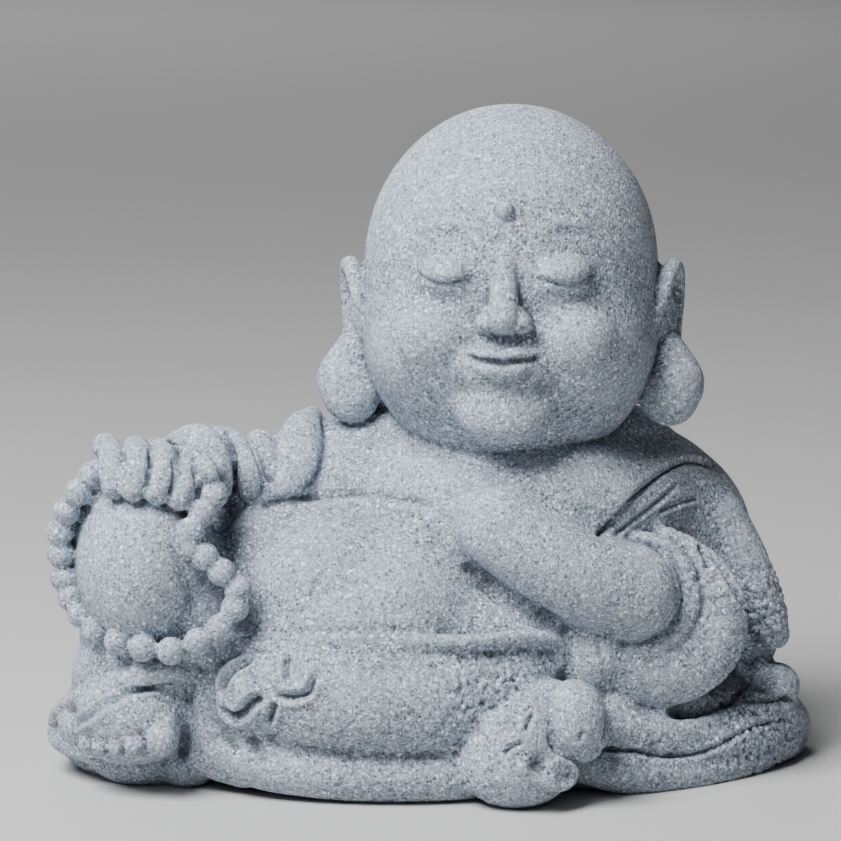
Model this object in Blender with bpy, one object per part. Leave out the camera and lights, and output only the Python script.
"""A small laughing buddha figurine, cast in one piece from stone-coloured resin.

The seated figure leans on a raised knee with one hand, which holds a string of beads, and rests its
other forearm on its belly. A knotted sack lies beside it. The underside is cut flat, so the figure
stands by its own weight. +X is towards the sack, -Y is the front, +Z is up, and the origin is in the
middle of the underside. Lengths are in metres.

The form is built as a sculptor would in clay: lumps and rolls are laid on in stages, each stage is
gathered into one skin and softened, and creases are drawn on it from the front and pressed in. All
places in that work are in sculptor's units, which are shares of the figure's height.
"""

import math

import bmesh
import bpy
import numpy as np
from mathutils import Euler, Matrix, Vector
from mathutils.bvhtree import BVHTree

# Driving dimensions

FIGURE_HEIGHT = 0.066
BEAD_DIAMETER = 0.0027

# The sculptor's unit is one sixty-sixth of the height, so 1 mm on a figure of this size
UNIT = FIGURE_HEIGHT / 66

# The clay reaches a little below the height at which the underside is cut
CUT_HEIGHT = 0.9

# How finely each stage is gathered, from the large masses to the face and beads
MASS_CLAY = 0.8 * UNIT
LIMB_CLAY = 0.55 * UNIT
CLOTH_CLAY = 0.45 * UNIT
FINE_CLAY = 0.36 * UNIT

# The plain areas are simplified first, and then everything together
PLAIN_TRIANGLES = 5400
TRIANGLES = 9700

# Carved lines are kept at least this wide, in units, so that they survive the simplifying
NARROWEST_LINE = 0.5

UNTURNED = (0.0, 0.0, 0.0)
FORWARD = (0.0, 1.0, 0.0)
SIDES = (-1, 1)


# Places as they are seen from the front, nine degrees from above

VIEW_MIDDLE = Vector((-0.75, 0.0, 35.3))
VIEW_CORNER = (42.05, 42.05)
VIEW_DISTANCE = 400
VIEW_TILT = math.radians(9)
AHEAD = Vector((0, math.cos(VIEW_TILT), -math.sin(VIEW_TILT)))
UPWARD = Vector((0, math.sin(VIEW_TILT), math.cos(VIEW_TILT)))
EYE = VIEW_MIDDLE - AHEAD * VIEW_DISTANCE


def sight(across, down):
    """The line of sight through a point of the front view."""
    return AHEAD * VIEW_DISTANCE + Vector((across - VIEW_CORNER[0], 0, 0)) + UPWARD * (VIEW_CORNER[1] - down)


def seen(across, down, depth, *radius):
    """The place at a depth, its y, behind a point of the front view, followed by a radius if one is given."""
    line = sight(across, down)
    return (*(EYE + line * ((depth - EYE.y) / line.y)), *radius)


# Clay

def turned(degrees):
    """A rotation by angles about X, Y and Z, in degrees."""
    return Euler([math.radians(angle) for angle in degrees]).to_matrix().to_4x4()


def ball(clay, centre, radii, turn=UNTURNED, place=Matrix(), fineness=4):
    """Adds a rounded lump."""
    size = Matrix.Diagonal((*(radius * UNIT for radius in radii), 1))
    matrix = place @ Matrix.Translation(Vector(centre[:3]) * UNIT) @ turned(turn) @ size
    bmesh.ops.create_icosphere(clay, subdivisions=fineness, radius=1, matrix=matrix)


def through(stations, steps=5):
    """A smooth curve through the stations, carrying whatever each one holds besides its place."""
    known = [np.array(station, float) for station in stations]
    ends = [2 * known[0] - known[1]] + known + [2 * known[-1] - known[-2]]
    curve = []
    for before, start, end, after in zip(ends, ends[1:], ends[2:], ends[3:]):
        for step in range(steps):
            t = step / steps
            bend = (2 * before - 5 * start + 4 * end - after) * t**2
            twist = (3 * start - before - 3 * end + after) * t**3
            curve.append(0.5 * (2 * start + (end - before) * t + bend + twist))
    return curve + [known[-1]]


def rings_along(curve, flat, thin):
    """One frame across the curve at each of its points, as large as the roll is there."""
    rings = []
    for index, point in enumerate(curve):
        last, following = curve[max(index - 1, 0)], curve[min(index + 1, len(curve) - 1)]
        along = Vector((following - last)[:3]).normalized()
        short = (thin - along * thin.dot(along)).normalized()
        turn = Matrix((short.cross(along), short, along)).transposed().to_4x4()
        radius = point[3] * UNIT
        size = Matrix.Diagonal((radius, radius * flat, radius, 1))
        rings.append(Matrix.Translation(Vector(point[:3]) * UNIT) @ turn @ size)
    return rings


def roll(clay, stations, flat=1.0, thin=FORWARD, place=Matrix(), sides=16):
    """Adds a roll through stations of (x, y, z, radius), round-ended and squeezed along thin by flat."""
    rings = rings_along(through(stations), flat, Vector(thin))
    piece = bmesh.new()
    ring = bmesh.ops.create_circle(piece, cap_ends=False, segments=sides, radius=1, matrix=rings[0])["verts"]
    edges = list({edge for vert in ring for edge in vert.link_edges})
    for last, following in zip(rings, rings[1:]):
        made = bmesh.ops.extrude_edge_only(piece, edges=edges)["geom"]
        ring = {item for item in made if isinstance(item, bmesh.types.BMVert)}
        sides_made = [item for item in made if isinstance(item, bmesh.types.BMEdge)]
        edges = [edge for edge in sides_made if ring.issuperset(edge.verts)]
        bmesh.ops.transform(piece, verts=list(ring), matrix=following @ last.inverted())
    bmesh.ops.holes_fill(piece, edges=piece.edges[:], sides=0)
    for end in (rings[0], rings[-1]):
        bmesh.ops.create_icosphere(piece, subdivisions=3, radius=1, matrix=end)
    bmesh.ops.transform(piece, verts=piece.verts[:], matrix=place)
    add(clay, piece)


def add(clay, piece):
    """Lays a finished piece on the clay."""
    mesh = bpy.data.meshes.new("piece")
    piece.to_mesh(mesh)
    piece.free()
    clay.from_mesh(mesh)
    bpy.data.meshes.remove(mesh)


def clay_from(*skins):
    """Finished skins as clay, for more to be laid on."""
    clay = bmesh.new()
    for skin in skins:
        clay.from_mesh(skin)
    return clay


def shaped(mesh, kind, fine=(), **settings):
    """The mesh as one modifier leaves it, with the fine points in a group of their own."""
    lump = bpy.data.objects.new("lump", mesh)
    bpy.context.scene.collection.objects.link(lump)
    if fine:
        lump.vertex_groups.new(name="fine").add(fine, 1.0, "REPLACE")
    modifier = lump.modifiers.new("shape", kind)
    for name, value in settings.items():
        setattr(modifier, name, value)
    result = bpy.data.meshes.new_from_object(lump.evaluated_get(bpy.context.evaluated_depsgraph_get()))
    bpy.data.objects.remove(lump)
    return result


def gathered(clay, grain, softening):
    """One closed skin round all the clay, softened."""
    mesh = bpy.data.meshes.new("clay")
    clay.to_mesh(mesh)
    clay.free()
    skin = shaped(mesh, "REMESH", mode="VOXEL", voxel_size=grain, adaptivity=0)
    return shaped(skin, "SMOOTH", factor=0.5, iterations=softening)


# Carving

class Skin:
    """The points and normals of a skin, in units, with the tools that press into it."""

    def __init__(self, mesh):
        self.mesh = mesh
        places = np.empty(len(mesh.vertices) * 3, np.float32)
        mesh.vertices.foreach_get("co", places)
        self.places = places.reshape(-1, 3).astype(float) / UNIT
        clay = clay_from(mesh)
        self.tree = BVHTree.FromBMesh(clay)
        clay.free()
        self.read_normals()

    def read_normals(self):
        normals = np.empty(len(self.mesh.vertices) * 3, np.float32)
        self.mesh.vertex_normals.foreach_get("vector", normals)
        self.normals = normals.reshape(-1, 3).astype(float)

    def push(self, points, amounts):
        self.places[points] += self.normals[points] * amounts[:, None]

    def settle(self):
        """Hands the moved points back to the mesh."""
        self.mesh.vertices.foreach_set("co", (self.places * UNIT).astype(np.float32).ravel())
        self.mesh.update()
        self.read_normals()

    def struck(self, start, line):
        hit = self.tree.ray_cast(start * UNIT, line.normalized())[0]
        return [] if hit is None else [np.array(hit) / UNIT]

    def drawn(self, stations):
        """The route on the skin under a line drawn across the front view."""
        lines = [sight(across, down) for across, down in through(stations, 6)]
        return np.array([spot for line in lines for spot in self.struck(EYE, line)])

    def drawn_on_head(self, stations):
        """The same for the face, drawn straight from the front of the head's own frame."""
        ahead = HEAD.to_3x3() @ Vector(FORWARD)
        starts = [HEAD @ (Vector((x, 0, z)) * UNIT) / UNIT - ahead * 66 for x, z in through(stations, 6)]
        return np.array([spot for start in starts for spot in self.struck(start, ahead)])

    def drawn_behind(self, stations):
        """The same for the back, across and up, drawn straight from behind."""
        starts = [Vector((x, 60, z)) for x, z in through(stations, 6)]
        return np.array([spot for start in starts for spot in self.struck(start, Vector((0, -1, 0)))])


def beside(skin, route, reach):
    """The points near a route: their numbers, offsets from it, its direction there and their share along."""
    low, high = route.min(axis=0) - reach, route.max(axis=0) + reach
    near = np.nonzero(np.all((skin.places > low) & (skin.places < high), axis=1))[0]
    points = skin.places[near]
    lengths = np.linalg.norm(np.diff(route, axis=0), axis=1)
    starts = np.concatenate([[0], np.cumsum(lengths)])
    best = np.full(len(near), np.inf)
    offset, course, along = np.zeros((len(near), 3)), np.zeros((len(near), 3)), np.zeros(len(near))
    for start, end, length, begun in zip(route, route[1:], lengths, starts):
        step = end - start
        share = np.clip((points - start) @ step / (step @ step), 0, 1)
        gap = points - (start + share[:, None] * step)
        distance = np.linalg.norm(gap, axis=1)
        closer = distance < best
        best[closer] = distance[closer]
        offset[closer] = gap[closer]
        along[closer] = (begun + share * length)[closer] / starts[-1]
        course[closer] = step / length
    return near, offset, course, along


def tapered(along, ends):
    """1 along the middle of a route, falling smoothly to 0 over a share of it at each end."""
    share = np.clip(np.minimum(along, 1 - along) / ends, 0, 1)
    return share * share * (3 - 2 * share)


def groove(skin, route, width, depth, ends=0.18, lip=0.0):
    """Presses a soft channel along the route, or raises a ridge where the depth is negative."""
    near, offset, course, along = beside(skin, route, 4 * width)
    distance = np.linalg.norm(offset, axis=1) / width
    profile = lip * np.exp(-(((distance - 1.9) / 0.8) ** 2)) - depth * np.exp(-(distance**2))
    skin.push(near, profile * tapered(along, ends))


def fold(skin, route, towards, height, reach, depth, width=0.5, ends=0.2):
    """Makes the edge of a layer of cloth: one side stands proud and the other is undercut."""
    near, offset, course, along = beside(skin, route, 3 * reach)
    across = np.array(towards, float) - course * (course @ np.array(towards, float))[:, None]
    across /= np.linalg.norm(across, axis=1)[:, None]
    side = np.einsum("ij,ij->i", offset, across)
    distance = np.linalg.norm(offset, axis=1)
    proud = height * 0.5 * (1 + np.tanh(side / (0.35 * width))) * np.exp(-((distance / reach) ** 2))
    under = depth * np.exp(-(((side + 0.45 * width) / width) ** 2) - (distance / (2.2 * width)) ** 2)
    skin.push(near, (proud - under) * tapered(along, ends))


def crease(skin, width, depth, *stations, ends=0.18, lip=0.0):
    """A groove under a line drawn over the front view."""
    groove(skin, skin.drawn(stations), max(width, NARROWEST_LINE), depth, ends, lip)


def crease_behind(skin, width, depth, *stations, ends=0.3, lip=0.3):
    """A groove under a line drawn over the back."""
    groove(skin, skin.drawn_behind(stations), max(width, NARROWEST_LINE), depth, ends, lip)


# Head

HEAD_CENTRE = Vector((8.2, -1.0, 49.2))
HEAD_TURN = (-7.0, 0.0, -4.0)
HEAD = Matrix.Translation(HEAD_CENTRE * UNIT) @ turned(HEAD_TURN)


def head_skin():
    """A bald round head with full cheeks and closed lids, on even proportions."""
    clay = bmesh.new()
    ball(clay, (0, 0.8, 1.9), (14.8, 14.3, 16.2), place=HEAD)
    ball(clay, (0, 0.4, -4.6), (14.9, 13.7, 14.2), place=HEAD)
    for side in SIDES:
        ball(clay, (side * 6.2, -4.6, -6.2), (7.8, 8.6, 7.2), place=HEAD)
    clay = clay_from(gathered(clay, MASS_CLAY, 26))
    ball(clay, (0, -10.8, -12.4), (4.8, 3.0, 3.4), place=HEAD)
    ball(clay, (0, -11.9, -7.9), (4.9, 2.7, 2.9), place=HEAD)
    for side in SIDES:
        ball(clay, (side * 5.7, -12.2, 0.9), (3.0, 2.2, 1.9), turn=(0, 0, side * 24), place=HEAD)
        ball(clay, (side * 6.8, -10.9, -5.2), (4.1, 3.1, 3.5), place=HEAD)
    return gathered(clay, LIMB_CLAY, 23)


def nose(clay):
    bridge = [(0, -12.2, 3.6, 1.1), (0, -12.9, 1.2, 1.25), (0, -13.7, -1.2, 1.4), (0, -14.4, -3.3, 1.6)]
    roll(clay, bridge, place=HEAD)
    ball(clay, (0, -13.6, -3.3), (2.4, 1.7, 1.6), place=HEAD)
    for side in SIDES:
        ball(clay, (side * 1.7, -13.8, -3.8), (1.1, 1.4, 1.0), place=HEAD)


def lips(clay):
    for side in SIDES:
        upper = [
            (0, -14.4, -7.0, 0.65),
            (side * 1.1, -14.4, -6.8, 0.75),
            (side * 2.3, -14.0, -6.9, 0.6),
            (side * 3.2, -13.4, -6.7, 0.4),
        ]
        roll(clay, upper, place=HEAD)
    lower = [
        (-2.6, -13.6, -7.7, 0.5),
        (-1.2, -14.2, -8.2, 0.85),
        (1.2, -14.2, -8.2, 0.85),
        (2.6, -13.6, -7.7, 0.5),
    ]
    roll(clay, lower, place=HEAD)


def forehead_mark(clay):
    """The small round mark that such figures bear above the brows."""
    ball(clay, (0, -12.7, 7.0), (0.9, 0.8, 0.9), place=HEAD, fineness=3)


def ear(clay, side):
    """An ear with its rim and inner fold, and the long heavy lobe."""
    place = HEAD @ Matrix.Diagonal((side, 1, 1, 1))
    outward = (1, 0, 0)
    ball(clay, (14.2, 1.6, -2.2), (1.9, 3.0, 4.6), place=place)
    ball(clay, (14.6, 2.4, -8.6), (2.4, 2.6, 4.2), place=place)
    rim = [
        (14.0, -1.5, -4.4, 0.6),
        (14.9, -1.7, -1.6, 0.75),
        (15.7, -0.5, 1.2, 0.85),
        (16.3, 2.0, 1.6, 0.9),
        (16.4, 3.7, -1.2, 0.85),
        (16.2, 3.4, -4.2, 0.8),
        (16.0, 2.2, -7.0, 0.95),
    ]
    roll(clay, rim, place=place, thin=outward)
    inner_fold = [
        (15.2, 0.8, -0.8, 0.5),
        (15.8, 1.6, -2.6, 0.75),
        (15.5, 1.0, -5.0, 0.8),
        (15.3, 0.3, -7.0, 0.9),
    ]
    roll(clay, inner_fold, place=place, thin=outward)
    lobe = [(15.2, 1.2, -4.8, 1.2), (15.8, 0.9, -7.0, 2.1), (16.3, 0.5, -9.4, 3.0), (15.8, 0.3, -11.0, 3.0)]
    roll(clay, lobe, place=place, flat=0.85)


def carve_face(skin):
    """The lines of lids, brows, smile and lips, drawn in the head's own frame."""

    def face_line(side, *stations):
        return skin.drawn_on_head([(side * x, z) for x, z in stations])

    for side in SIDES:
        groove(skin, face_line(side, (2.9, 0.8), (4.2, 0.1), (5.9, -0.2), (7.6, 0.2),
               (9.0, 1.2)), 0.35, 0.45)
        groove(skin, face_line(side, (2.8, 2.2), (4.4, 3.0), (6.2, 3.2), (8.0, 2.8),
               (9.2, 2.0)), 0.4, 0.22, ends=0.3)
        groove(skin, face_line(side, (2.2, 4.4), (4.2, 5.6), (6.6, 5.9),
               (9.0, 4.9)), 0.6, -0.35, ends=0.35)
        groove(skin, face_line(side, (2.7, -4.6), (4.3, -6.2), (5.2, -8.0)), 0.7, 0.22, ends=0.35)
    groove(skin, face_line(1, (-3.8, -6.8), (-2.6, -7.3), (-0.9, -7.45), (0, -7.6), (0.9, -7.45),
           (2.6, -7.3), (3.8, -6.8)), 0.3, 0.5, ends=0.12)
    groove(skin, face_line(1, (0, -5.2), (0, -6.2)), 0.45, 0.2, ends=0.4)
    skin.settle()


# Masses of the body

def body_core():
    """Chest, belly, shoulders, the lap with the folded leg, and the robe behind them."""
    clay = bmesh.new()
    ball(clay, (9, 6, 16), (23.0, 16.5, 17))
    ball(clay, (8, 1.2, 26.4), (20.0, 14.6, 10.4))
    ball(clay, (8.4, 4, 30), (12, 10, 8))
    ball(clay, seen(50.0, 42.4, 3.0), (17.0, 8.0, 3.4))
    ball(clay, seen(54.5, 49.4, -5.2), (11.0, 8.4, 6.4))
    ball(clay, (19.4, 4, 22.2), (13.7, 10, 12))
    ball(clay, (23.5, 3, 30.3), (4.6, 6, 3.4))
    ball(clay, (28.0, 9, 14.4), (5.4, 7, 10.4), turn=(0, -8, 0))
    ball(clay, (-9.0, 1.5, 27.8), (8.0, 9.0, 7.4))
    ball(clay, (-15.5, 5.0, 19), (7.5, 6.6, 13), turn=(0, 12, 0))
    ball(clay, (-19.5, 1.5, 20.0), (5.0, 5.0, 10.5), turn=(0, 6, 0))
    ball(clay, (3, 6, 6), (31, 16.5, 8.0))
    roll(clay, [(-14, 4, 10, 8), (-23, -1, 13.5, 7.5)])
    belly(clay)
    folded_leg(clay)
    return gathered(clay, MASS_CLAY, 11)


def belly(clay):
    ball(clay, (-6.2, -5.6, 16.9), (14.0, 15.0, 11.0))
    ball(clay, (-10.6, -5.4, 21.7), (10.6, 12.8, 6.8))
    ball(clay, seen(25.9, 55.2, -8.6), (4.0, 5.4, 5.0))
    ball(clay, (4.6, -4.6, 14.6), (12.2, 13.0, 8.6))


def folded_leg(clay):
    """The leg that lies in front, and the cloth that joins it to the hem."""
    leg = [
        seen(26.0, 68.4, -13.8, 6.4),
        seen(34.0, 69.0, -14.6, 7.8),
        seen(42.0, 69.3, -14.4, 7.9),
        seen(49.0, 68.6, -12.8, 7.0),
    ]
    roll(clay, leg, flat=0.9, thin=(0, 0, 1))
    roll(clay, [seen(20.8, 68.4, -12.8, 3.0), seen(21.8, 72.2, -13.6, 3.6), seen(25.0, 74.8, -15.0, 3.2)])
    roll(clay, [seen(29.0, 74.4, -16.6, 2.6), seen(37.0, 74.8, -17.4, 2.6), seen(45.0, 74.8, -17.0, 2.6)])


def raised_leg(clay):
    """The upright leg with its domed knee."""
    ball(clay, (-27.3, -8.8, 17.2), (7.1, 9.0, 9.0))
    ball(clay, (-27.4, -11.5, 22.9), (7.0, 9.2, 9.1))
    ball(clay, seen(8.9, 55.2, -8.4), (3.0, 3.6, 6.0))
    ball(clay, (-22.8, -11.0, 17.6), (5.4, 6.6, 8.6))
    roll(clay, [(-28.0, -7.4, 15, 6.6), (-29.6, -4, 9, 5.4)])


def reaching_arm(clay):
    """The arm that reaches to the knee, and the palm on it."""
    roll(clay, [(-8, 4, 29.8, 5.0), (-14, 0, 30.2, 3.6), (-20, -5, 30.4, 3.1), (-24.5, -8.2, 31.0, 3.1)])
    ball(clay, (-26.8, -10.4, 31.5), (5.4, 5.4, 3.7))
    ball(clay, seen(19.8, 46.6, -10.6), (2.7, 4.0, 2.7))
    ball(clay, seen(9.9, 48.4, -10.6), (1.9, 3.6, 2.6))
    ball(clay, seen(8.7, 51.4, -9.0), (2.3, 3.4, 3.2))


def resting_arm(clay):
    """The forearm on the belly, with a closed hand."""
    forearm = [
        seen(63.0, 59.2, -11.4, 5.0),
        seen(58.6, 58.0, -13.0, 4.7),
        seen(53.6, 55.4, -13.8, 4.3),
        seen(50.2, 53.2, -13.6, 3.9),
    ]
    roll(clay, forearm)
    ball(clay, seen(49.6, 52.6, -12.8), (4.2, 3.9, 4.0))


# Cloth

def robe_over_reaching_arm(clay):
    """The cuff and two gathered rings of cloth."""
    cuff = [
        seen(17.0, 44.8, -5.6, 1.3),
        seen(18.8, 44.0, -7.8, 1.5),
        seen(20.4, 44.1, -9.8, 1.6),
        seen(21.7, 45.6, -11.2, 1.3),
        seen(22.4, 47.4, -11.8, 0.95),
        seen(22.6, 49.2, -11.8, 0.7),
    ]
    ring = [
        seen(21.3, 43.9, -4.4, 1.4),
        seen(22.9, 44.3, -6.8, 1.5),
        seen(24.5, 45.8, -8.4, 1.4),
        seen(25.1, 47.6, -9.0, 1.4),
        seen(24.9, 49.0, -9.0, 1.2),
    ]
    fold = [
        seen(26.0, 44.3, -3.4, 1.5),
        seen(26.8, 46.2, -5.4, 1.3),
        seen(27.0, 48.2, -6.6, 1.1),
        seen(26.6, 50.0, -7.6, 0.8),
    ]
    for stations in (cuff, ring, fold):
        roll(clay, stations)


def lapel(clay):
    """The flat edge of the robe that falls from the shoulder."""
    band = [
        seen(31.4, 41.4, 0.6, 1.1),
        seen(30.6, 42.8, -1.8, 2.1),
        seen(29.8, 45.0, -4.8, 2.5),
        seen(29.4, 47.2, -6.6, 2.4),
        seen(28.4, 49.0, -8.2, 1.8),
        seen(25.6, 50.2, -8.8, 0.9),
    ]
    roll(clay, band, flat=0.62)


def wide_sleeve(clay):
    """The sleeve that hangs from the resting arm, and its far edge behind."""
    lobe = [
        seen(66.8, 54.0, -9.2, 1.4),
        seen(68.6, 55.6, -9.2, 2.1),
        seen(70.2, 58.0, -9.2, 2.9),
        seen(71.2, 60.8, -9.4, 3.4),
        seen(70.7, 63.8, -9.9, 3.7),
        seen(68.7, 66.2, -10.7, 3.7),
        seen(65.5, 67.4, -11.7, 3.5),
        seen(62.4, 66.8, -12.6, 2.8),
        seen(60.6, 65.6, -13.2, 2.0),
    ]
    roll(clay, lobe, flat=0.66)
    ball(clay, seen(66.0, 62.0, -6.0), (7.0, 6.0, 6.0))
    ball(clay, seen(59.6, 65.6, -12.2), (2.8, 3.2, 3.2))
    ball(clay, seen(57.8, 65.4, -11.0), (3.4, 3.6, 4.6))
    far_edge = [
        seen(71.6, 52.0, 0.5, 3.2),
        seen(74.0, 55.6, -0.8, 2.7),
        seen(75.6, 59.0, -1.2, 2.3),
        seen(76.8, 61.8, -1.2, 1.9),
        seen(77.4, 63.4, -0.8, 1.6),
    ]
    roll(clay, far_edge)
    roll(clay, [(28.2, 4.6, 25.0, 2.4), (30.8, 3.8, 20.0, 3.5), (31.9, 3.8, 14.6, 4.2), (30.4, 5.0, 8.4, 4.2)])


def sleeve_opening(clay):
    """The thick edge of the sleeve round the elbow."""
    edge = [
        seen(62.8, 53.8, -10.4, 0.7),
        seen(65.3, 54.2, -10.4, 0.9),
        seen(67.6, 55.8, -10.5, 1.05),
        seen(68.8, 58.2, -10.6, 1.2),
        seen(68.8, 60.8, -10.9, 1.3),
        seen(67.6, 63.2, -11.6, 1.3),
        seen(65.4, 64.9, -12.4, 1.25),
        seen(62.7, 65.4, -13.0, 1.1),
        seen(60.7, 64.7, -13.4, 0.8),
    ]
    roll(clay, edge)


def waistband(clay):
    """The edge of the waistband below the belly."""
    edge = [
        seen(24.7, 63.9, -15.0, 0.6),
        seen(30.0, 64.1, -18.0, 0.75),
        seen(39.6, 64.0, -19.6, 0.75),
        seen(47.2, 64.2, -19.0, 0.75),
        seen(51.8, 63.8, -17.2, 0.8),
        seen(55.0, 64.0, -15.2, 0.9),
        seen(55.8, 65.2, -14.4, 1.0),
        seen(55.2, 66.9, -14.6, 1.0),
    ]
    roll(clay, edge)


def hem_below_leg(clay):
    hem = [
        seen(20.8, 70.0, -14.4, 2.2),
        seen(22.2, 73.2, -14.6, 2.9),
        seen(25.4, 75.6, -15.8, 3.0),
        seen(31.0, 76.9, -17.6, 2.8),
        seen(38.0, 77.4, -18.4, 2.7),
        seen(45.0, 77.4, -18.0, 2.6),
        seen(50.5, 77.0, -16.0, 2.4),
    ]
    roll(clay, hem)
    panel = [
        seen(21.2, 71.0, -13.4, 1.8),
        seen(21.0, 73.6, -13.6, 2.2),
        seen(21.2, 75.4, -13.6, 2.3),
        seen(24.5, 76.4, -15.0, 2.4),
    ]
    roll(clay, panel)
    ball(clay, seen(18.8, 76.2, -11.0), (3.0, 3.4, 2.6))


def cloth_over_shin(clay):
    cloth = [
        seen(19.6, 66.8, -12.8, 3.6),
        seen(15.4, 66.4, -13.8, 4.0),
        seen(11.5, 66.6, -11.0, 4.0),
        seen(10.3, 69.8, -7.4, 3.4),
        seen(8.0, 72.8, -3.6, 3.2),
        (-32.6, 2, 5.8, 3.8),
    ]
    roll(clay, cloth)


def hem_over_foot(clay):
    """The rolled edge of the robe above the foot."""
    edge = [
        seen(19.3, 67.2, -16.2, 0.9),
        seen(17.0, 67.2, -17.1, 1.15),
        seen(15.0, 67.3, -17.4, 1.25),
        seen(12.2, 68.0, -16.8, 1.2),
        seen(10.0, 69.0, -15.0, 1.1),
        seen(8.0, 69.8, -12.5, 1.0),
        seen(6.5, 70.6, -9.6, 0.9),
        seen(5.9, 71.6, -7.6, 1.0),
        seen(5.7, 73.0, -6.8, 1.0),
    ]
    roll(clay, edge)


def trailing_end(clay):
    """The end of the robe beside the foot."""
    rim = [
        seen(6.0, 72.6, -6.4, 1.3),
        seen(6.2, 73.6, -6.8, 1.5),
        seen(7.4, 74.2, -9.0, 1.6),
        seen(9.4, 74.8, -11.6, 1.7),
    ]
    roll(clay, rim)
    ball(clay, seen(8.6, 72.0, -9.2), (2.8, 4.0, 2.6))
    roll(clay, [(-35.4, -4.6, 4.0, 1.8), (-35.0, -1, 3.8, 2.4), (-33, 3, 4.4, 3.4)])
    roll(clay, [(-34.6, -4.2, 3.0, 2.0), (-32.4, -6.6, 2.6, 2.2), (-28.4, -7.6, 2.6, 2.6)])
    roll(clay, [(-33.0, 2.8, 4.2, 3.2), (-30.0, 7.0, 4.0, 3.4), (-25.0, 10.2, 4.0, 3.4), (-17.0, 12.0, 4.2, 3.8)])


# Sack

def sack(clay):
    """The sack's two sagging rolls, and the lump where it turns the corner."""
    body = [
        (15.0, -13.0, 3.4, 2.6),
        (19.5, -11.0, 4.0, 3.8),
        (26.0, -7.6, 4.0, 4.6),
        (31.0, -3.0, 4.4, 5.0),
        (33.0, 3.0, 5.0, 5.0),
        (30.0, 10.0, 5.0, 5.0),
        (22.0, 15.0, 5.0, 5.0),
    ]
    upper = [
        seen(58.5, 71.8, -15.6, 1.8),
        seen(61.5, 73.0, -14.2, 2.2),
        seen(65.5, 73.4, -12.2, 2.3),
        seen(69.5, 73.0, -9.6, 2.3),
        seen(73.0, 71.9, -6.6, 2.2),
        seen(76.2, 71.3, -3.8, 1.9),
        seen(78.4, 71.6, -1.0, 2.0),
        seen(77.6, 72.5, 4.0, 3.6),
    ]
    lower = [
        seen(57.5, 76.6, -15.8, 1.6),
        seen(61.5, 77.0, -15.0, 2.2),
        seen(66.0, 77.3, -12.8, 2.3),
        seen(70.5, 76.8, -9.8, 2.3),
        seen(74.5, 75.4, -6.0, 2.3),
        seen(77.3, 74.0, -2.6, 2.3),
        seen(77.4, 74.0, 2.0, 3.2),
    ]
    for stations in (body, upper, lower):
        roll(clay, stations)
    ball(clay, seen(77.8, 68.4, -0.2), (2.2, 4.0, 2.1))
    roll(clay, [seen(74.6, 69.4, -3.6, 0.7), seen(76.2, 68.9, -2.4, 1.3), seen(77.8, 68.4, -1.0, 1.8)])


def sack_mouth(clay):
    """The loose cloth that spreads out below the knot."""
    ball(clay, seen(51.7, 76.4, -19.8), (5.5, 4.4, 4.3))
    roll(clay, [seen(55.2, 70.3, -17.6, 2.4), seen(53.0, 72.2, -18.8, 3.3), seen(51.7, 74.6, -19.6, 4.4)])
    ball(clay, seen(61.0, 70.8, -11.8), (3.0, 3.4, 2.6))
    ball(clay, seen(66.0, 70.4, -7.0), (5.0, 4.0, 3.0))


def sack_knot(clay):
    """The knot's round bulge, and the pocket of cloth beside it."""
    ball(clay, seen(57.7, 72.1, -19.4), (3.1, 3.6, 4.1), turn=(0, -12, 0))
    ball(clay, seen(53.8, 76.8, -21.5), (2.8, 2.0, 2.0), turn=(0, 14, 0))


# Hand, foot and beads

def foot(clay):
    ball(clay, seen(13.6, 70.9, -13.1), (6.0, 6.3, 4.9))
    ball(clay, seen(13.4, 73.8, -12.2), (5.2, 5.4, 2.3))
    ball(clay, (-28.0, -7.0, 3.4), (6.2, 7.2, 3.6))


def fingers(clay):
    """Four fingers bent over the knee, the outer knuckle and the thumb."""
    for knuckle, bend, middle, tip in (
        (seen(11.0, 44.8, -11.0), seen(11.2, 45.6, -14.2), seen(11.3, 47.2, -15.8), seen(11.4, 48.6, -16.4)),
        (seen(13.6, 44.7, -11.0), seen(13.8, 45.5, -14.8), seen(13.7, 47.2, -16.8), seen(13.3, 48.9, -17.5)),
        (seen(16.2, 45.0, -11.0), seen(16.4, 45.9, -14.8), seen(16.2, 47.5, -16.8), seen(15.7, 49.2, -17.6)),
        (seen(18.2, 46.4, -11.4), seen(18.4, 47.1, -14.6), seen(18.4, 48.5, -16.3), seen(17.9, 49.8, -17.0)),
    ):
        roll(clay, [(*knuckle, 1.2), (*bend, 1.33), (*middle, 1.38), (*tip, 1.28)])
    ball(clay, seen(10.6, 44.6, -11.0), (1.4, 1.7, 1.3))
    thumb = [
        seen(18.6, 45.2, -11.8, 1.3),
        seen(19.9, 45.7, -13.2, 1.3),
        seen(20.8, 46.6, -14.2, 1.3),
    ]
    roll(clay, thumb)


def toes(clay):
    for across, down, depth, radius in (
        (8.7, 74.3, -15.4, 0.85),
        (10.1, 74.7, -17.0, 0.95),
        (11.6, 74.7, -18.0, 1.0),
        (13.4, 74.5, -18.6, 1.15),
        (16.0, 74.0, -18.6, 1.6),
    ):
        x, y, z, radius = seen(across, down, depth, radius)
        root = (x + 0.3, y + 3.0, z + 2.6, radius)
        roll(clay, [root, (x + 0.1, y + 1.2, z + 1.4, radius), (x, y, z, radius)])


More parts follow.
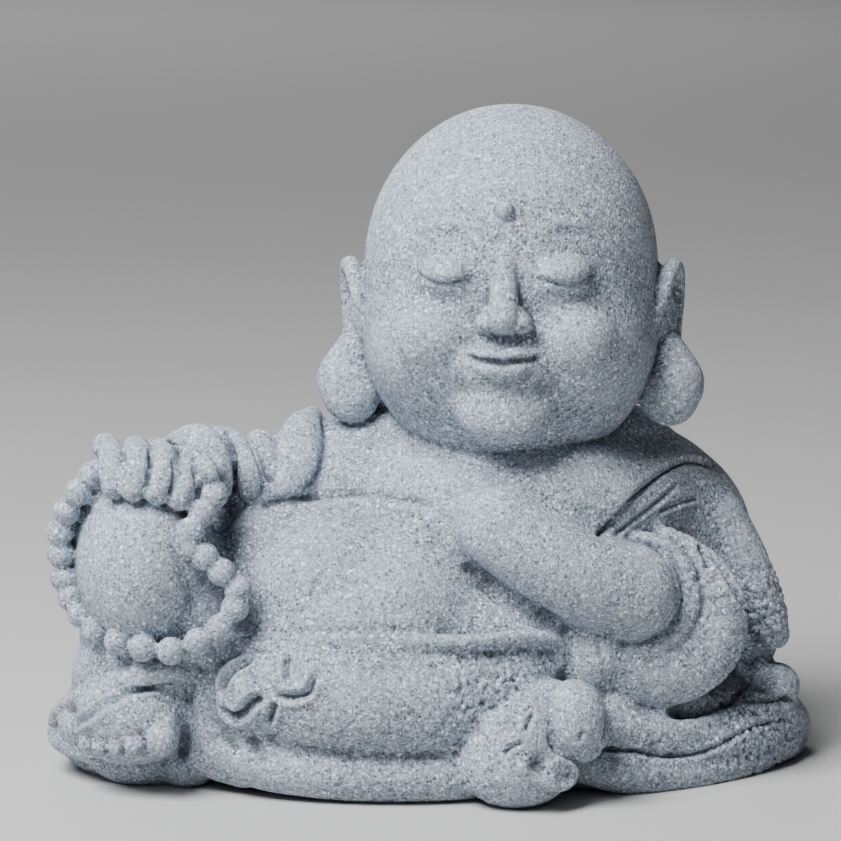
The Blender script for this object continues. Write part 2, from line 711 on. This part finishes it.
BEAD_PLACES = (
    (20.9, 47.0, -15.2),
    (21.4, 49.5, -15.6),
    (20.2, 51.3, -16.8),
    (19.1, 53.1, -17.6),
    (18.6, 54.8, -17.9),
    (20.5, 55.7, -18.0),
    (22.1, 57.2, -18.0),
    (23.8, 58.9, -17.9),
    (23.5, 60.8, -18.2),
    (22.0, 62.8, -18.8),
    (19.8, 64.2, -19.2),
    (17.1, 65.1, -19.4),
    (14.3, 64.8, -19.0),
    (11.8, 64.1, -17.8),
    (9.5, 63.0, -15.6),
    (8.1, 61.4, -13.6),
    (7.1, 59.7, -12.8),
    (6.4, 57.8, -12.4),
    (6.1, 55.4, -12.4),
    (6.0, 53.2, -12.6),
    (6.7, 51.1, -13.0),
    (7.9, 49.2, -13.6),
    (9.2, 47.5, -13.8),
)


# What the softening of the finest clay takes off a bead's radius, in units
BEAD_SOFTENING = 0.04


def beads(clay):
    """Touching beads, sunk a little into each other as they are in the cast."""
    radius = BEAD_DIAMETER / UNIT / 2 + BEAD_SOFTENING
    for index, bead in enumerate(BEAD_PLACES):
        larger = 1.15 if index == 0 else 1.0
        ball(clay, seen(*bead), (radius * larger,) * 3, fineness=3)


# Carved lines

def carve_upper_cloth(skin):
    """The fold between chest and belly, the lapel's edges and the folds of the sleeve."""
    fold(skin, skin.drawn([(24.6, 51.2), (28.5, 50.3), (33.0, 49.7), (36.5, 49.6), (41.5, 50.4),
           (44.3, 51.5)]), (0, -0.4, -1.0), 0.15, 1.8, 0.5, 0.5, 0.15)
    crease(skin, 0.4, 0.35, (32.2, 41.2), (32.6, 43.8), (32.4, 45.8), (31.6, 47.8), (30.2, 49.4),
           ends=0.1)
    crease(skin, 0.3, 0.4, (27.4, 42.8), (27.4, 45.0), (27.3, 47.0), (26.9, 48.8))
    crease(skin, 0.35, 0.9, (22.3, 43.0), (23.2, 45.4), (23.5, 47.8), (23.7, 49.8), ends=0.1)
    crease(skin, 0.25, 0.35, (24.9, 43.8), (25.8, 46.0), (26.3, 48.0), (26.2, 49.5), ends=0.1)
    fold(skin, skin.drawn([(59.4, 53.6), (61.0, 52.0), (63.2, 49.7), (65.0, 48.1), (66.5, 47.0),
           (68.0, 46.2), (69.2, 46.0), (70.6, 46.3), (71.6, 46.9)]),
           (-0.6, -0.3, 0.7), 0.35, 1.8, 0.5, 0.35, 0.08)
    crease(skin, 0.25, 0.32, (61.1, 53.8), (63.0, 52.3), (65.5, 50.4), (67.2, 48.9), (68.2, 48.2),
           lip=0.15)
    crease(skin, 0.25, 0.28, (65.4, 51.4), (66.8, 50.8), (68.0, 50.3), (69.0, 50.0), (70.2, 49.9),
           lip=0.15)
    crease(skin, 0.32, 0.35, (62.0, 54.0), (64.3, 54.2), (66.0, 55.3), (67.1, 56.8), (67.7, 58.7),
           (67.4, 61.0), (66.0, 63.0), (64.3, 64.2), ends=0.3)
    crease(skin, 0.3, 0.8, (69.9, 54.3), (70.5, 55.6), (71.0, 57.0))
    crease(skin, 0.32, 1.1, (70.2, 54.8), (71.8, 56.3), (73.5, 59.0), (74.7, 61.2), (75.4, 63.4),
           ends=0.1, lip=0.2)
    crease(skin, 0.3, 0.4, (59.5, 63.8), (60.0, 64.8), (60.4, 66.0), (60.8, 67.0), ends=0.3)
    crease(skin, 1.3, 0.35, (46.8, 57.2), (49.5, 59.0), (53.2, 60.9), (57.0, 62.4), ends=0.3)
    crease(skin, 0.22, 0.3, (51.2, 60.2), (53.0, 61.1), (54.8, 61.9), ends=0.3)
    crease(skin, 0.45, 0.45, (45.9, 56.3), (47.0, 57.1), (48.2, 58.0), ends=0.45)
    skin.settle()


def carve_lap(skin):
    """The curling folds on the lap, and the lines of hem and waistband."""
    crease(skin, 0.4, 0.75, (25.6, 65.4), (24.5, 66.3), (23.6, 66.8), (22.9, 67.5), (22.3, 68.5),
           (22.1, 69.7), lip=0.3, ends=0.2)
    crease(skin, 0.46, 1.05, (22.0, 70.6), (22.8, 71.4), (23.6, 71.7), (24.4, 71.2), (25.0, 70.5),
           (25.7, 70.0), (26.6, 70.0), lip=0.35, ends=0.18)
    crease(skin, 1.2, -0.5, (22.9, 69.2), (24.2, 69.0), (25.6, 68.3), ends=0.4)
    crease(skin, 0.34, 0.62, (29.0, 65.2), (28.7, 66.5), (28.6, 68.3), lip=0.15, ends=0.25)
    crease(skin, 0.38, 0.72, (27.2, 69.2), (28.5, 69.7), (30.0, 69.6), (30.9, 69.2), (31.3, 68.2),
           (32.0, 67.0), lip=0.3, ends=0.25)
    crease(skin, 0.38, 0.8, (27.6, 70.0), (27.2, 71.3), (26.8, 72.6), lip=0.25, ends=0.25)
    crease(skin, 0.35, 0.3, (26.0, 73.2), (27.2, 73.8), (28.1, 72.8), ends=0.3)
    crease(skin, 0.45, 0.25, (33.2, 64.7), (33.7, 65.0), (34.2, 65.1), ends=0.4)
    crease(skin, 0.8, -0.6, (20.1, 66.9), (20.0, 69.5), (20.4, 72.0), (21.6, 74.2))
    crease(skin, 0.5, 0.5, (21.2, 67.4), (21.1, 70.0), (21.5, 72.2))
    crease(skin, 0.9, -0.5, (19.8, 66.8), (21.2, 65.3), (23.0, 64.4), (25.0, 64.0))
    crease(skin, 0.45, 0.4, (21.5, 67.0), (22.6, 65.9), (24.4, 65.2), (27.0, 65.0))
    crease(skin, 0.6, 0.5, (24.8, 73.5), (26.0, 75.2), (26.6, 76.6))
    crease(skin, 0.7, 0.5, (21.0, 71.5), (22.4, 73.4), (24.0, 75.6))
    crease(skin, 0.8, 0.4, (24.0, 72.6), (27.0, 74.2), (30.0, 74.9), (36.0, 75.5), (42.0, 75.6),
           (46.0, 75.2))
    crease(skin, 0.4, 0.2, (26.0, 63.2), (33.0, 63.1), (40.0, 63.0), (47.0, 63.3), (51.6, 62.7))
    skin.settle()


def carve_small_forms(skin):
    """The lines of the hand, foot, knot and sack."""
    crease(skin, 0.22, 0.3, (12.4, 44.9), (12.5, 46.6), (12.3, 49.2))
    crease(skin, 0.22, 0.3, (15.0, 45.0), (15.0, 47.0), (14.5, 49.5))
    crease(skin, 0.22, 0.3, (17.3, 45.8), (17.4, 47.6), (16.9, 49.8))
    crease(skin, 0.25, 0.4, (19.4, 46.4), (19.6, 48.0), (19.7, 49.6))
    crease(skin, 0.3, 0.6, (19.8, 44.8), (20.3, 45.2), (20.9, 45.2), ends=0.3)
    crease(skin, 0.32, 0.55, (16.8, 44.3), (18.8, 44.3), (20.6, 44.9), (21.8, 46.3), (22.3, 48.0),
           ends=0.2, lip=0.2)
    crease(skin, 0.8, 0.35, (17.8, 53.6), (18.2, 56.4), (19.1, 59.2), (19.2, 61.5))
    crease(skin, 0.35, 0.2, (16.0, 68.6), (13.0, 69.3), (10.5, 70.3), (9.0, 70.8), lip=0.1)
    crease(skin, 0.8, 0.3, (7.1, 71.4), (7.8, 71.3), (8.8, 71.2), ends=0.3)
    crease(skin, 0.5, 0.55, (18.5, 72.0), (18.5, 74.0), (18.2, 76.4))
    for across, down in ((9.4, 74.6), (10.7, 74.8), (12.3, 74.8), (14.5, 74.4)):
        crease(skin, 0.22, 0.3, (across, down - 0.9), (across, down), (across, down + 0.9))
    crease(skin, 0.25, 0.4, (53.4, 71.2), (52.8, 72.4), (52.6, 73.3), lip=0.12)
    crease(skin, 0.25, 0.35, (52.4, 74.2), (51.3, 74.7), (50.2, 75.5), lip=0.12)
    crease(skin, 0.22, 0.25, (58.4, 73.1), (58.1, 73.7), (58.0, 74.3))
    crease(skin, 0.28, 0.6, (54.8, 73.2), (55.3, 74.5), (56.2, 75.6), (57.0, 76.4), ends=0.12)
    crease(skin, 1.0, 0.75, (52.8, 75.8), (54.0, 76.5), (55.3, 76.9), ends=0.4)
    crease(skin, 0.45, -0.95, (52.0, 75.6), (52.2, 76.6), (53.0, 77.6), (54.5, 78.3), (55.9, 78.5),
           (56.8, 77.8), (56.9, 76.8), (56.2, 75.8), (55.6, 75.0), ends=0.12)
    crease(skin, 0.6, -0.4, (49.8, 72.6), (50.9, 71.8), (51.8, 71.4), ends=0.3)
    crease(skin, 0.4, 0.8, (60.8, 71.4), (60.5, 73.8), (59.2, 76.0))
    crease(skin, 0.28, 0.45, (59.2, 74.8), (63.3, 75.1), (66.3, 75.6), (69.5, 75.4), (71.5, 74.7),
           (75.6, 72.6), (79.4, 71.8), lip=0.15)
    crease(skin, 0.4, 0.8, (73.8, 69.9), (77.0, 70.1), (80.0, 69.6), lip=0.15)
    crease(skin, 0.6, 1.1, (68.0, 71.3), (70.6, 70.9), (73.0, 70.0), (74.8, 68.0), (75.7, 65.2))
    skin.settle()


def carve_back(skin):
    """The collar and the long soft folds of the robe on the back, which is plainer."""
    crease_behind(skin, 0.9, -0.5, (22.0, 31.0), (15.0, 30.2), (8.0, 29.8), (1.0, 29.8), (-6.0, 30.4),
           ends=0.15, lip=0.0)
    crease_behind(skin, 0.5, 0.5, (22.5, 29.4), (15.0, 28.4), (8.0, 28.0), (1.0, 28.0), (-7.0, 28.8),
           ends=0.15, lip=0.0)
    crease_behind(skin, 1.0, 0.75, (23.0, 27.0), (18.0, 22.8), (11.0, 19.2), (3.0, 16.8), (-5.0, 15.8))
    crease_behind(skin, 1.1, 0.8, (27.4, 24.0), (23.6, 18.0), (16.5, 13.6), (8.0, 11.4), (-1.0, 10.8))
    crease_behind(skin, 0.9, 0.65, (15.0, 26.4), (9.6, 23.8), (3.0, 21.8), (-4.0, 20.8))
    crease_behind(skin, 0.9, 0.7, (30.4, 19.0), (28.6, 14.0), (24.6, 10.6), (18.0, 8.8))
    crease_behind(skin, 0.9, 0.6, (-9.0, 27.0), (-8.0, 23.4), (-6.4, 19.6), (-6.0, 15.0))
    crease_behind(skin, 0.8, 0.6, (-17.0, 24.0), (-18.4, 19.0), (-18.0, 14.0))
    crease_behind(skin, 0.45, 0.6, (29.0, 5.4), (20.0, 4.6), (9.0, 5.0), (-3.0, 4.4), (-14.0, 4.8),
           ends=0.2, lip=0.15)
    skin.settle()


# The cast

def stone_material():
    material = bpy.data.materials.new("cast_stone")
    material.use_nodes = True
    shader = material.node_tree.nodes["Principled BSDF"]
    shader.inputs["Base Color"].default_value = (0.36, 0.38, 0.40, 1)
    shader.inputs["Roughness"].default_value = 0.85
    shader.inputs["Metallic"].default_value = 0
    return material


def cut_flat(clay, height):
    """Cuts away what is below the height, in units, and closes the cut."""
    everything = clay.verts[:] + clay.edges[:] + clay.faces[:]
    floor = (0, 0, height * UNIT)
    bmesh.ops.bisect_plane(
        clay, geom=everything, dist=0.02 * UNIT, plane_co=floor, plane_no=(0, 0, -1), clear_outer=True
    )
    bmesh.ops.holes_fill(clay, edges=[edge for edge in clay.edges if edge.is_boundary], sides=0)


def mesh_of(clay, name):
    mesh = bpy.data.meshes.new(name)
    clay.to_mesh(mesh)
    clay.free()
    return mesh


def triangles_in(mesh):
    return sum(len(polygon.vertices) - 2 for polygon in mesh.polygons)


FINE_PLACES = (
    ((-27.0, -13.0, 31.5), 6.5),
    ((-29.0, -17.0, 6.0), 5.5),
    (HEAD @ (Vector((0, -13, -3)) * UNIT) / UNIT, 10.5),
    ((12.0, -21.0, 6.0), 5.5),
    ((-16.0, -21.0, 10.0), 6.0),
)
BEAD_REACH = 2.0


def simplified(skin):
    """Few triangles, spent mostly on the beads, the hand, the toes, the face, the knot and the swirl."""
    points = Skin(skin).places
    fine = np.zeros(len(points), bool)
    for centre, reach in [(seen(*bead), BEAD_REACH) for bead in BEAD_PLACES] + list(FINE_PLACES):
        fine |= np.linalg.norm(points - np.array(centre), axis=1) < reach
    fine = np.nonzero(fine)[0].tolist()
    ratio = (PLAIN_TRIANGLES + 2 * len(fine)) / triangles_in(skin)
    protect = {"vertex_group": "fine", "invert_vertex_group": True, "vertex_group_factor": 1.0}
    plain = shaped(skin, "DECIMATE", fine=fine, ratio=ratio, **protect)
    return shaped(plain, "DECIMATE", ratio=TRIANGLES / triangles_in(plain))


def cast(skin):
    """Simplifies the skin, cuts its underside flat and moves the middle of its outline to the origin."""
    clay = clay_from(skin)
    cut_flat(clay, CUT_HEIGHT - 0.3)
    clay = clay_from(simplified(mesh_of(clay, "trimmed")))
    cut_flat(clay, CUT_HEIGHT)
    middle = Vector([(max(axis) + min(axis)) / 2 for axis in zip(*(vert.co for vert in clay.verts))])
    bmesh.ops.translate(clay, verts=clay.verts[:], vec=(-middle.x, -middle.y, -CUT_HEIGHT * UNIT))
    bmesh.ops.triangulate(clay, faces=clay.faces[:])
    mesh = mesh_of(clay, "buddha_figure")
    mesh.shade_smooth()
    return mesh


def sculpted():
    clay = clay_from(body_core())
    for lay_on in (raised_leg, reaching_arm, resting_arm):
        lay_on(clay)
    clay = clay_from(gathered(clay, LIMB_CLAY, 7))
    for lay_on in (
        cloth_over_shin,
        foot,
        wide_sleeve,
        sack,
        sack_mouth,
        robe_over_reaching_arm,
        lapel,
        waistband,
        hem_below_leg,
        trailing_end,
    ):
        lay_on(clay)
    clay = clay_from(gathered(clay, CLOTH_CLAY, 2), head_skin())
    for side in SIDES:
        ear(clay, side)
    for lay_on in (nose, lips, forehead_mark, fingers, toes, beads, sack_knot, hem_over_foot, sleeve_opening):
        lay_on(clay)
    skin = Skin(gathered(clay, FINE_CLAY, 1))
    for carve in (carve_face, carve_upper_cloth, carve_lap, carve_small_forms, carve_back):
        carve(skin)
    return skin.mesh


def main():
    for old in list(bpy.data.objects):
        bpy.data.objects.remove(old)
    figure = bpy.data.objects.new("buddha_figure", cast(sculpted()))
    figure.data.materials.append(stone_material())
    bpy.context.scene.collection.objects.link(figure)


main()
